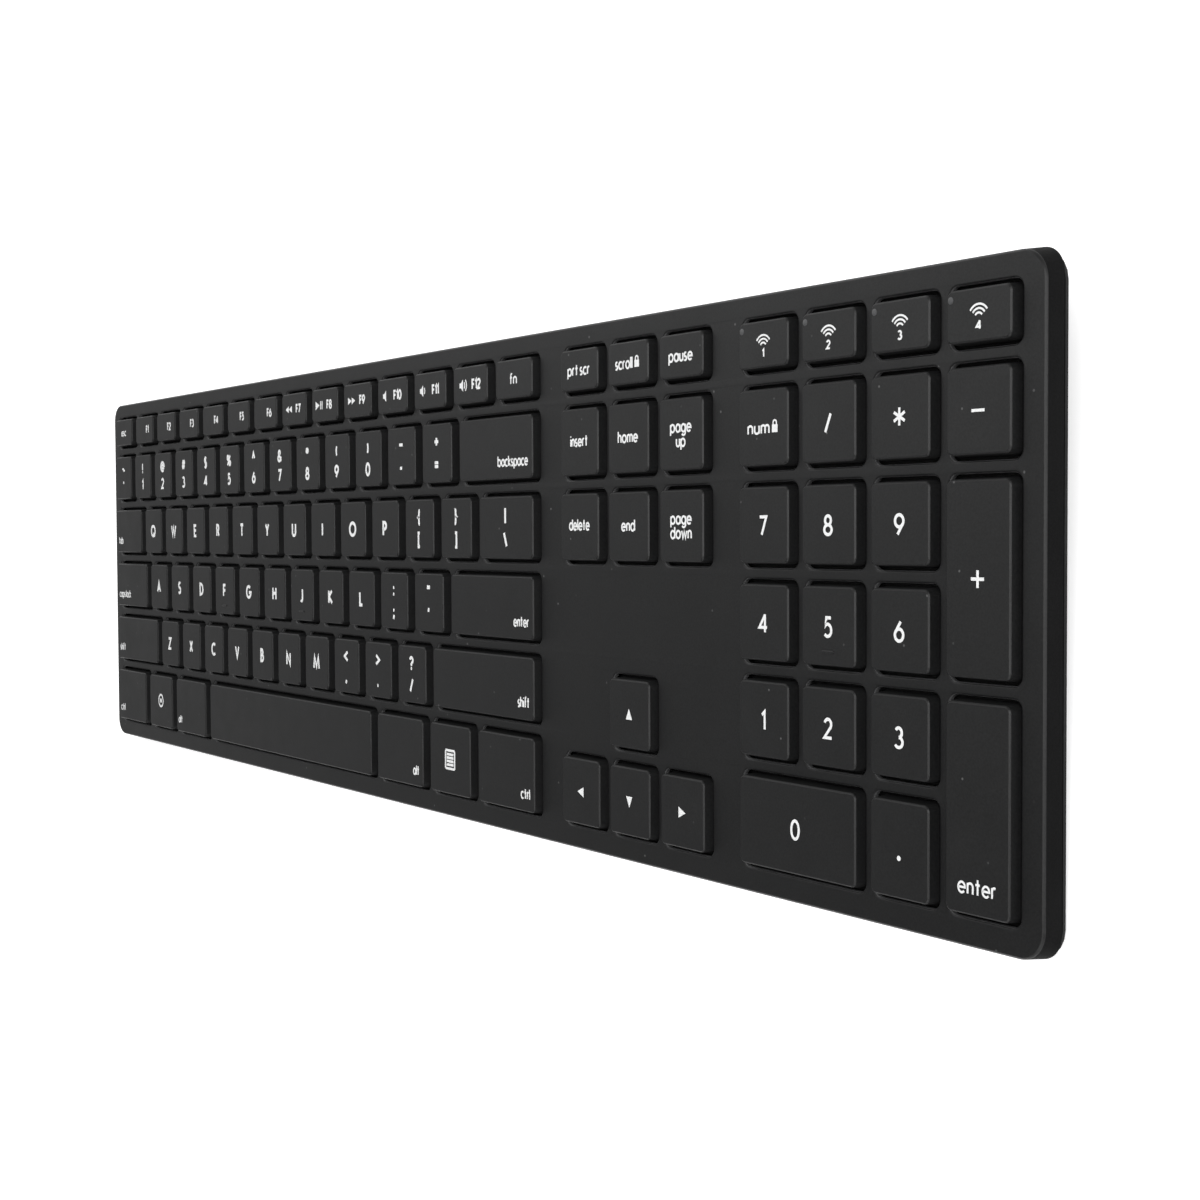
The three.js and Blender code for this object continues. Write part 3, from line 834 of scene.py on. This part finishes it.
def function_key(words, kind=None):
    def draw(legend):
        box = legend.box
        legend.text(words, box.cx + 3.1, box.cy, 2.2, HEAVY, "centre", 1.05)
        draw_media(legend, kind, box.cx - 3.3, box.cy)
    return draw


def menu_mark(legend):
    """A little sheet with thin blank lines across it."""
    cx, cy = legend.box.cx + 0.25, legend.box.cy
    half, tall = 2.3, 2.3
    sheet = [(cx - half, cy - tall), (cx + half, cy - tall), (cx + half, cy + tall), (cx - half, cy + tall)]
    for start, end in zip(sheet, sheet[1:] + sheet[:1]):
        legend.stroke([start, end], 0.3)
    for step in (-1.32, -0.44, 0.44, 1.32):
        legend.stroke([(cx - half * 0.74, cy + step), (cx + half * 0.74, cy + step)], 0.32)


def command_mark(legend):
    """A plain ring round a dot, in place of any maker's symbol."""
    cx, cy = legend.box.cx, legend.box.cy + 0.3
    legend.stroke(arc_points(cx, cy, 2.0, 0, 360, 32), 0.32)
    legend.area(arc_points(cx, cy, 0.8, 0, 342, 18))


def nothing(legend):
    """A key with no legend."""


BANK_KEYS = {
    "key_bank_function_row": [
        *[(f"f{n}", function_key(f"F{n}")) for n in range(1, 7)],
        ("f7", function_key("F7", "rewind")), ("f8", function_key("F8", "play")),
        ("f9", function_key("F9", "forward")), ("f10", function_key("F10", "mute")),
        ("f11", function_key("F11", "quieter")), ("f12", function_key("F12", "louder")),
        ("fn", word("fn", 0.0, 1.2)),
    ],
    "key_bank_number_row": [
        ("grave", pair("~", "`")), ("1", pair("!", "1")), ("2", pair("@", "2")), ("3", pair("#", "3")),
        ("4", pair("$", "4")), ("5", pair("%", "5")), ("6", pair("^", "6")), ("7", pair("&", "7")),
        ("8", pair("*", "8")), ("9", pair("(", "9")), ("0", pair(")", "0")), ("minus", pair("_", "-")),
        ("equals", pair("+", "=")), ("backspace", corner_word("backspace", "right")),
    ],
    "key_bank_q_row": [
        ("tab", corner_word("tab", "left")), *[(c, letter(c)) for c in "qwertyuiop"],
        ("left_bracket", pair("{", "[")), ("right_bracket", pair("}", "]")), ("backslash", pair("|", "\\")),
    ],
    "key_bank_a_row": [
        ("caps_lock", corner_word("caps lock", "left")), *[(c, letter(c)) for c in "asdfghjkl"],
        ("semicolon", pair(":", ";")), ("quote", pair('"', "'")), ("enter", corner_word("enter", "right")),
    ],
    "key_bank_z_row": [
        ("left_shift", corner_word("shift", "left")), *[(c, letter(c)) for c in "zxcvbnm"],
        ("comma", pair("<", ",")), ("period", pair(">", ".")), ("slash", pair("?", "/")),
        ("right_shift", corner_word("shift", "right")),
    ],
    "key_bank_left_modifiers": [
        ("left_control", corner_word("ctrl", "left")), ("command", command_mark),
        ("left_alt", corner_word("alt", "left")),
    ],
    "key_bank_right_modifiers": [
        ("right_alt", corner_word("alt", "right")), ("menu", menu_mark),
        ("right_control", corner_word("ctrl", "right")),
    ],
}
SINGLE_KEYS = {
    "escape": word("esc"), "space": nothing,
    "print_screen": word("prt scr"), "scroll_lock": word_and_padlock("scroll", 0.9),
    "pause": word("pause", 0.1),
    "insert": word("insert", 0.25, 0.88), "home": word("home", 0.3), "page_up": two_words("page", "up"),
    "delete": word("delete", 0.5, 0.86), "end": word("end", 0.25), "page_down": two_words("page", "down"),
    "arrow_up": triangle(0, 1), "arrow_left": triangle(-1, 0),
    "arrow_down": triangle(0, -1), "arrow_right": triangle(1, 0),
    "wireless_1": wireless("1"), "wireless_2": wireless("2"),
    "wireless_3": wireless("3"), "wireless_4": wireless("4"),
    "num_lock": word_and_padlock("num", 1.25),
    "pad_slash": centre_text("/", 3.3, 0.19, 1.2, -0.2), "pad_asterisk": bars((90, 30, 150), 1.6, 0.28),
    "pad_minus": bars((0,), 1.5, 0.26), "pad_plus": bars((0, 90), 1.5, 0.29),
    "pad_enter": pad_enter, "pad_point": point,
    **{f"pad_{n}": pad_figure(n) for n in range(10)},
}
BAR_KEYS = {"pad_5", "f", "j"}
WINDOW_KEYS = {"wireless_1", "wireless_2", "wireless_3", "wireless_4"}


# ------------------------------------------------------------------ keycaps

def cap_shell(box, low, high, bar):
    """One hollow cap: leaning sides, chamfered top edge, rounded corners, and a pocket from below."""
    shell = Shell()
    edge = high - CAP_EDGE
    profile = [(0.0, low), (CAP_DRAFT * 0.5, (low + edge) / 2)]
    profile += [(CAP_DRAFT + inset, high - depth) for inset, depth in chamfer(CAP_EDGE)]
    rings = [ring(box.grown(-inset), CAP_CORNER - inset * CAP_CORNER_LOSS, z) for inset, z in profile]
    outer = shell.loft(rings)
    shell.face(outer[-1])
    pocket = [ring(box.grown(-CAP_WALL), CAP_CORNER - CAP_WALL, z) for z in (low, high - CAP_CEILING)]
    inner = shell.loft(pocket)
    shell.face(inner[-1])
    shell.bridge(outer[0], inner[0])
    if bar:
        add_bar(shell, box, high)
    return shell


def add_bar(shell, box, top):
    """Raised bar that a finger finds without looking."""
    half = BAR_WIDTH / 2
    middle = box.y0 + BAR_FROM_FRONT
    base = Box(box.cx - BAR_LENGTH / 2, middle - half, box.cx + BAR_LENGTH / 2, middle + half)
    rings = [ring(base, half, top - BAR_SUNK)]
    for inset, depth in fillet(half * BAR_ROUNDING, 3):
        rings.append(ring(base.grown(-inset), half - inset, top + BAR_HEIGHT - depth))
    shell.plug(rings)


def window_shell(box, top):
    """Small round window of the pairing light, a hair proud of the cap."""
    shell = Shell()
    x, y = box.x0 + WINDOW_FROM_LEFT, box.y1 - WINDOW_FROM_REAR
    shell.plug([disc(x, y, WINDOW_RADIUS * share, top + height) for share, height in WINDOW_CROWN])
    return shell


def make_key(name, node, box, draw):
    low, high = deck_box(node)
    shell = cap_shell(box, low.z, high.z, name in BAR_KEYS)
    cap = make_object(f"cap_{name}", shell, [LOOKS["keycap_plastic"]])
    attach(cap, node)
    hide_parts(node)
    legend = Legend(box, high.z)
    draw(legend)
    if legend.count:
        marks = legend.made(f"legend_{name}")
        marks.parent = cap
    if name in WINDOW_KEYS:
        window = make_object(f"window_{name}", window_shell(box, high.z), [WINDOW_LOOK])
        window.parent = cap


def make_keys():
    for name, draw in SINGLE_KEYS.items():
        node = f"key_{name}"
        make_key(name, node, caps_of(node)[0], draw)
    for node, keys in BANK_KEYS.items():
        for (name, draw), box in zip(keys, caps_of(node), strict=True):
            make_key(name, node, box, draw)


# ------------------------------------------------------------------ deck

def all_caps():
    nodes = [f"key_{name}" for name in SINGLE_KEYS] + list(BANK_KEYS)
    return [box for node in nodes for box in caps_of(node)]


def make_deck():
    """Plate with a chamfered outer edge, a rim that is turned down and leans out at the front and the rear, its
    colour darker than the top as painted shade, and a rounded edge at each well whose walls are paler as painted
    light in the gaps."""
    low, high = deck_box("top_case")
    plate = Box(low.x, low.y, high.x, high.y)
    base = Box(low.x, low.y - RIM_FLARE_FRONT, high.x, high.y + RIM_FLARE_REAR)
    on_top, on_rim, on_walls = range(3)  # which of its materials
    shell = Shell()

    def edge(inset, z):
        return ring(plate.grown(-inset), DECK_CORNER - inset, z, DECK_CORNER_STEPS)

    def foot(inset, z):
        return ring(base.grown(-inset), RIM_CORNER - inset, z, DECK_CORNER_STEPS)

    made = shell.loft([edge(inset, -depth) for inset, depth in reversed(chamfer(DECK_EDGE))], on_top)
    rim = [shell.ring(points) for points in (
        foot(0, low.z + RIM_EASE), foot(RIM_EASE, low.z), edge(RIM_THICKNESS, low.z))]
    inside = shell.ring(edge(RIM_THICKNESS, -DECK_THICKNESS))
    for a, b in zip([made[-1], *rim], [*rim, inside]):
        shell.bridge(a, b, on_rim)
    tops, bottoms = [made[0]], [inside]
    for box in all_caps():
        well = box.grown(WELL_CLEARANCE)
        rings = [ring(well.grown(inset), WELL_CORNER + inset, -depth)
                 for inset, depth in reversed(fillet(WELL_EDGE, 4))]
        rings.append(ring(well, WELL_CORNER, -DECK_THICKNESS))
        wall = [shell.ring(points) for points in rings]
        for level, (a, b) in enumerate(zip(wall, wall[1:])):
            # below the lip the walls take the paler colour, painted light in the gaps
            shell.bridge(a, b, on_top if level < WELL_LIP_BANDS else on_walls)
        tops.append(wall[0])
        bottoms.append(wall[-1])
    shell.fill(tops)
    shell.fill(bottoms)
    deck = make_object("deck_plate", shell, [LOOKS["anodised_deck"], SHADED_RIM_LOOK, LIT_WELL_LOOK])
    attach(deck, "case")
    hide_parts("top_case")


# ------------------------------------------------------------------ feet and screws

def make_foot(node):
    """Rubber pad with round ends, its top sloping with the cover and its bottom flat on the desk."""
    low, high = (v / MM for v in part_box(node))
    top_points = [v.co / MM for v in frame["nodes"][node].data.vertices]
    front_top = max(p.z for p in top_points if p.y < low.y + SAME * 4)
    slope = (high.z - front_top) / (high.y - low.y)
    base = Box(low.x, low.y, high.x, high.y)
    corner = (base.y1 - base.y0) / 2
    shell = Shell()
    rings = [ring(base.grown(-inset), corner - inset, low.z + depth, 8)
             for inset, depth in reversed(fillet(FOOT_EDGE, 3))]
    top = [(x, y, front_top + slope * (y - base.y0)) for x, y, _ in ring(base, corner, 0, 8)]
    shell.plug([*rings, top])
    foot = make_object(f"pad_{node}", shell, [LOOKS["foot_rubber"]], TO_ROW_MM)
    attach(foot, "case")
    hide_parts(node)


def make_screw(node):
    """Pan head with a cross recess, seen from below, and its shank."""
    low, high = deck_box(node)
    cx, cy, radius = (low.x + high.x) / 2, (low.y + high.y) / 2, (high.x - low.x) / 2
    seat = low.z + SCREW_HEAD
    profile = [(radius - inset, low.z + depth) for inset, depth in reversed(fillet(SCREW_EDGE, 4))]
    profile += [
        (radius, seat), (SCREW_SHANK, seat), (SCREW_SHANK, high.z - SCREW_TIP_LENGTH), (SCREW_TIP, high.z),
    ]
    shell = Shell()
    made = shell.loft([disc(cx, cy, r, z) for r, z in profile])
    shell.face(made[-1])
    arms = []
    for turn in range(4):
        for x, y in ((RECESS_REACH, -RECESS_HALF), (RECESS_REACH, RECESS_HALF), (RECESS_HALF, RECESS_HALF)):
            for _ in range(turn):
                x, y = -y, x
            arms.append((cx + x, cy + y))
    mouth = shell.ring([(x, y, low.z) for x, y in arms])
    floor = shell.ring([(x, y, low.z + RECESS_DEPTH) for x, y in arms])
    shell.bridge(mouth, floor)
    shell.face(floor)
    shell.fill([made[0], mouth])
    screw = make_object(f"screw_{node}", shell, [LOOKS["screw_steel"]], sharp=35)
    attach(screw, "case")
    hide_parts(node)


# ------------------------------------------------------------------ charging socket

def make_port():
    """Round-cornered steel socket, open to the rear, with a black tongue and gilt contacts in it."""
    low, high = deck_box("charging_port")
    mouth = Box(low.x, low.z, high.x, high.z)  # x and z, as it is seen from the rear
    ease, wall = SOCKET_EASE, SOCKET_WALL

    def section(box, inset, radius, y):
        return [(x, y, z) for x, z, _ in ring(box.grown(-inset), radius - inset, 0)]

    shell = Shell()
    path = (
        (0, low.y), (0, high.y - ease), (ease, high.y),
        (wall - ease, high.y), (wall, high.y - ease), (wall, low.y + SOCKET_FLOOR),
    )
    made = shell.loft([section(mouth, inset, SOCKET_CORNER, y) for inset, y in path])
    shell.face(made[0])
    shell.face(made[-1])
    socket = make_object("socket_shell", shell, [LOOKS["socket_steel"]])
    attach(socket, "case")
    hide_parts("charging_port")

    tip = high.y - TONGUE_SUNK
    blade = Box(
        mouth.cx - TONGUE_HALF_WIDTH, mouth.cy - TONGUE_HALF_HEIGHT,
        mouth.cx + TONGUE_HALF_WIDTH, mouth.cy + TONGUE_HALF_HEIGHT)
    path = ((0, low.y + TONGUE_ROOT), (0, tip - ease), (ease, tip))
    shell = Shell()
    shell.plug([section(blade, inset, TONGUE_CORNER, y) for inset, y in path])
    tongue = make_object("socket_tongue", shell, [LOOKS["switch_plastic"]])
    tongue.parent = socket

    shell = Shell()
    for side in (blade.y0, blade.y1):
        for step in range(-CONTACTS_EACH_SIDE, CONTACTS_EACH_SIDE + 1):
            middle = mouth.cx + step * CONTACT_PITCH
            strip = Box(middle - CONTACT_HALF, tip - CONTACT_FROM, middle + CONTACT_HALF, tip - CONTACT_TO)
            levels = (side - CONTACT_PROUD, side + CONTACT_PROUD)
            shell.plug([ring(strip, CONTACT_CORNER, z, 2) for z in levels])
    contacts = make_object("socket_contacts", shell, [GILT_LOOK], sharp=30)
    contacts.parent = socket


# ------------------------------------------------------------------ CAD nodes that stay in view

def soften_cad(node, width):
    """Rounds the edges of a CAD node, whose mesh stays as it is under the modifier."""
    obj = frame["nodes"][node]
    bevel = obj.modifiers.new("soft_edges", "BEVEL")
    bevel.width = width * MM
    bevel.segments = 3
    bevel.limit_method = "ANGLE"
    bevel.angle_limit = math.radians(40)
    bevel.harden_normals = True


# ------------------------------------------------------------------ floor, light and camera

def make_floor():
    bpy.ops.mesh.primitive_plane_add(size=60)
    floor = bpy.context.object
    floor.name = "floor"
    look = Look("pale_floor", Roughness=0.8, Specular_IOR_Level=0.1, Emission_Strength=0.55)
    look.shader.inputs["Emission Color"].default_value = (1, 1, 1, 1)
    look.link(look.mottle(3, 0.84, 0.86), "Base Color")
    floor.data.materials.append(look.material)


def area_light(name, place, aim, size, power):
    data = bpy.data.lights.new(name, "AREA")
    data.shape = "SQUARE"
    data.size = size
    data.energy = power
    light = bpy.data.objects.new(name, data)
    bpy.context.scene.collection.objects.link(light)
    light.location = place
    light.rotation_euler = (Vector(aim) - Vector(place)).to_track_quat("-Z", "Y").to_euler()


LIGHTS = (  # name, place, aim, size in metres, power in watts
    ("rear_left", (-0.78, 0.78, 1.15), (0.15, 0, 0), 1.8, 13),
    ("right", (1.1, 0.2, 1.15), (0.15, 0, 0), 1.15, 19),
    ("front_fill", (0.55, -0.8, 0.55), (0.2, 0, 0), 0.7, 3.5),
)


def make_light():
    """A sky that is bright at the horizon and darker overhead, and the area lights."""
    world = bpy.data.worlds.new("studio")
    world.use_nodes = True
    tree = world.node_tree
    direction = tree.nodes.new("ShaderNodeTexCoord").outputs["Generated"]
    split = tree.nodes.new("ShaderNodeSeparateXYZ")
    fade = tree.nodes.new("ShaderNodeValToRGB")
    low, high = fade.color_ramp.elements
    low.position, low.color = 0.05, grey(0.80)
    high.position, high.color = 0.35, grey(0.25)
    tree.links.new(direction, split.inputs["Vector"])
    tree.links.new(split.outputs["Z"], fade.inputs["Fac"])
    tree.links.new(fade.outputs["Color"], tree.nodes["Background"].inputs["Color"])
    tree.nodes["Background"].inputs["Strength"].default_value = 1.0
    bpy.context.scene.world = world
    for light in LIGHTS:
        area_light(*light)
    bpy.context.scene.view_settings.view_transform = "Standard"


def make_camera():
    data = bpy.data.cameras.new("camera")
    data.lens = CAMERA_LENS
    data.sensor_width = CAMERA_SENSOR
    data.clip_start = 0.01
    data.clip_end = 100
    camera = bpy.data.objects.new("camera", data)
    bpy.context.scene.collection.objects.link(camera)
    place, aim = DECK @ Vector(CAMERA_PLACE), DECK @ Vector(CAMERA_AIM)
    turn = DECK.to_3x3().normalized()
    forward = (aim - place).normalized()
    right = forward.cross(turn @ Vector(CAMERA_UP)).normalized()
    up = right.cross(forward)
    basis = Matrix((right, up, -forward)).transposed().to_4x4()
    camera.matrix_world = Matrix.Translation(place) @ basis
    bpy.context.scene.camera = camera


# ------------------------------------------------------------------ build

make_camera()
make_light()
make_floor()
give_cad_looks()
make_deck()
make_keys()
make_port()
soften_cad("bottom_cover", 0.35)
soften_cad("power_switch", 0.15)
for node_name in sorted(frame["nodes"]):
    if node_name.startswith("foot_"):
        make_foot(node_name)
    if node_name.startswith("cover_screw_"):
        make_screw(node_name)
